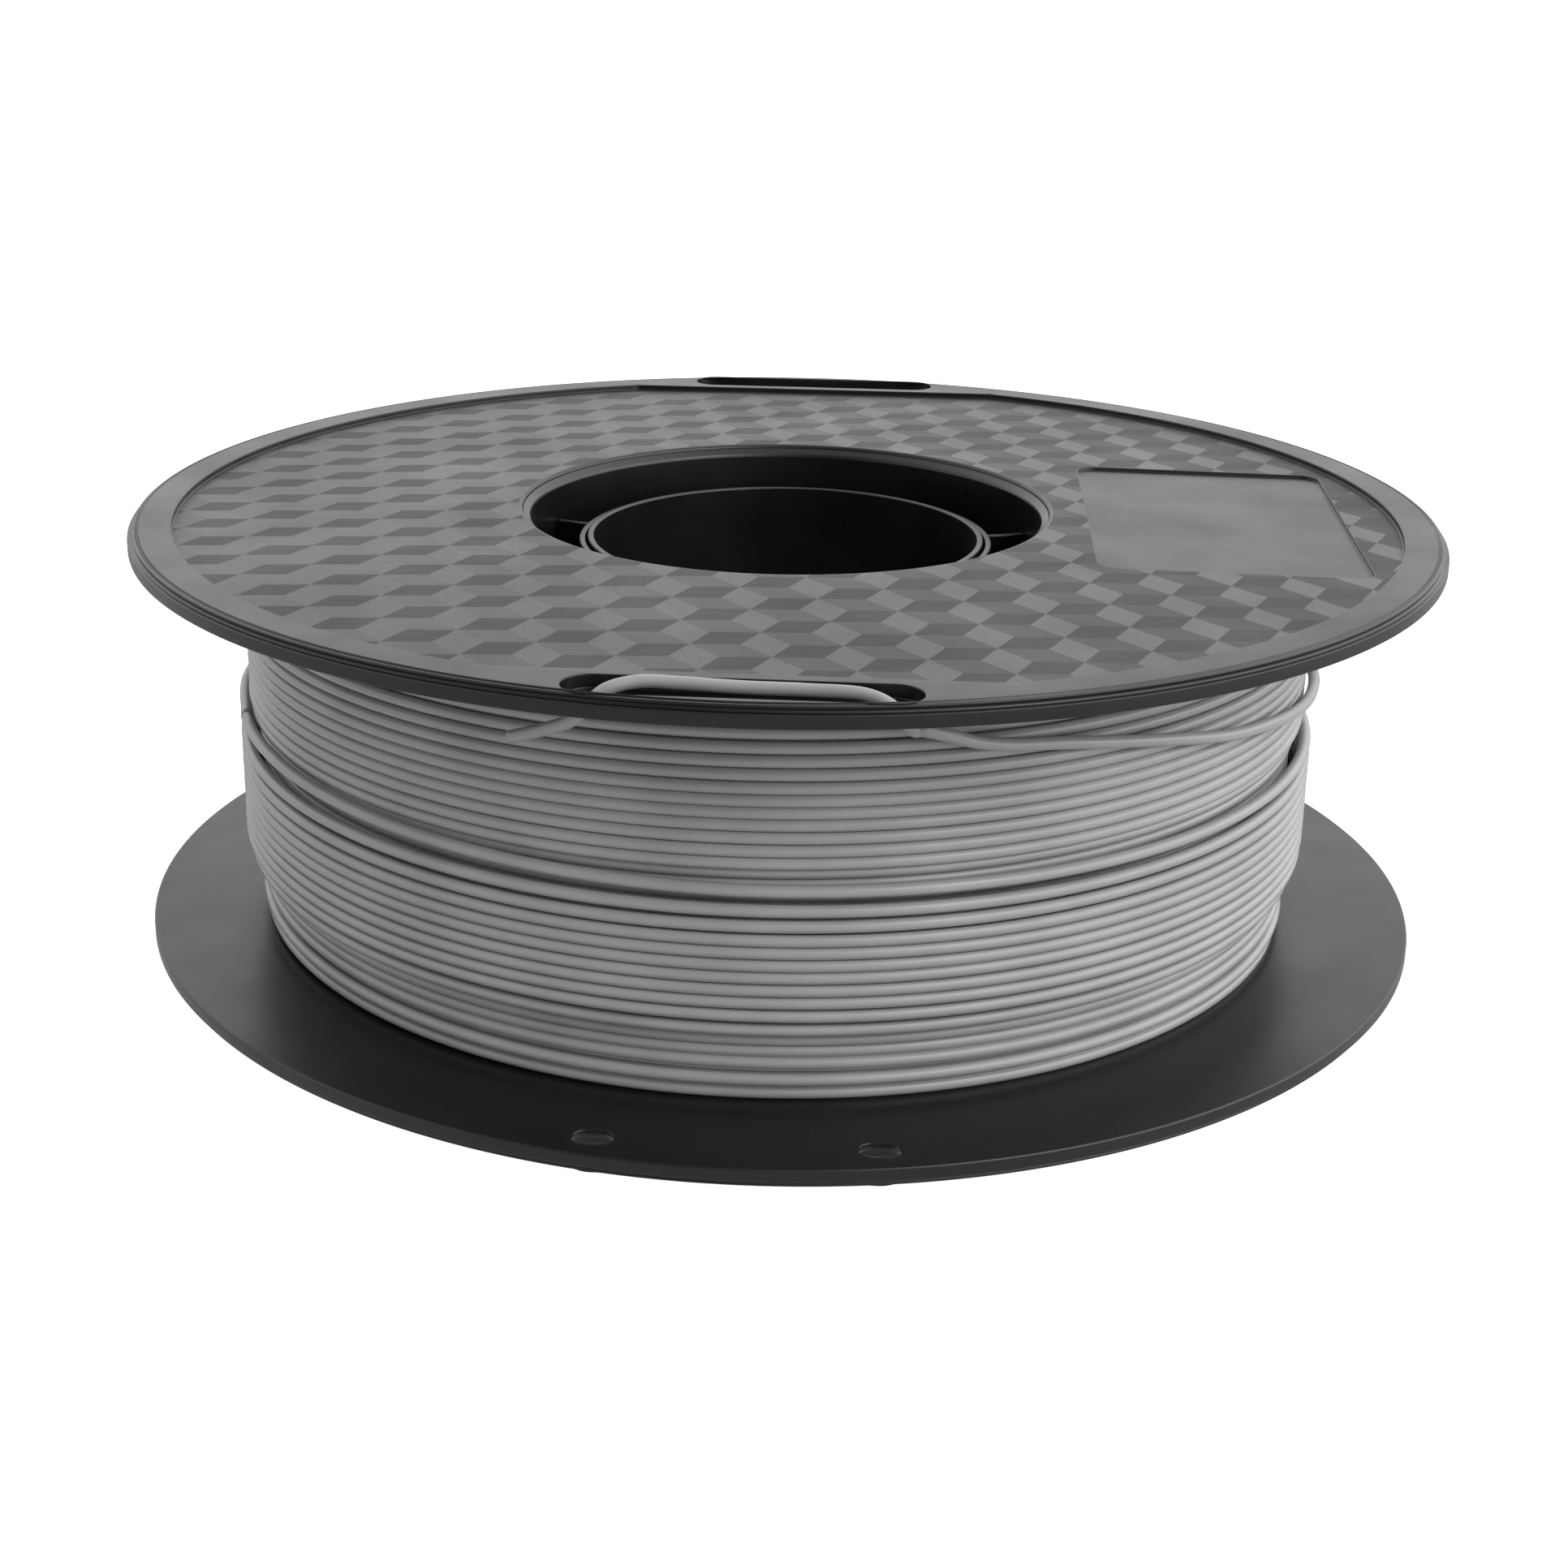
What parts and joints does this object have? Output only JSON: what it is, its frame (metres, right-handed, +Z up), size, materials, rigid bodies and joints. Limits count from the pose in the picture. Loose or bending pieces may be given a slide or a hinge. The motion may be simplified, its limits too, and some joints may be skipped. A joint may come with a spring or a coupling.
{
  "type": "filament spool",
  "caption": "Flat round spool with two recessed, patterned flanges, a hollow hub with an inner bore tube, and wound filament whose free end is threaded through a flange.",
  "frame": {"origin": "centre of the lower flange's outer face, where the spool's axis meets the surface it lies on", "axes": "+Z up along the spool's axis, +X towards the label pocket, the thread channels on -Y and +Y"},
  "size_m": [0.2, 0.2, 0.0658],
  "materials": {
    "flange_plastic": "moulded black plastic, satin, with a fine-ribbed facet pattern on the recessed faces",
    "hub_plastic": "moulded black plastic, smooth satin",
    "filament": "extruded grey plastic strand, semi-gloss"
  },
  "bodies": {
    "root": {"upper_flange": "flange_plastic", "lower_flange": "flange_plastic", "winding_barrel": "hub_plastic", "bore_tube_inner": "hub_plastic", "bore_tube_outer_with_webs": "hub_plastic", "wound_filament": "filament", "filament_free_end": "filament"}
  },
  "joints": []
}
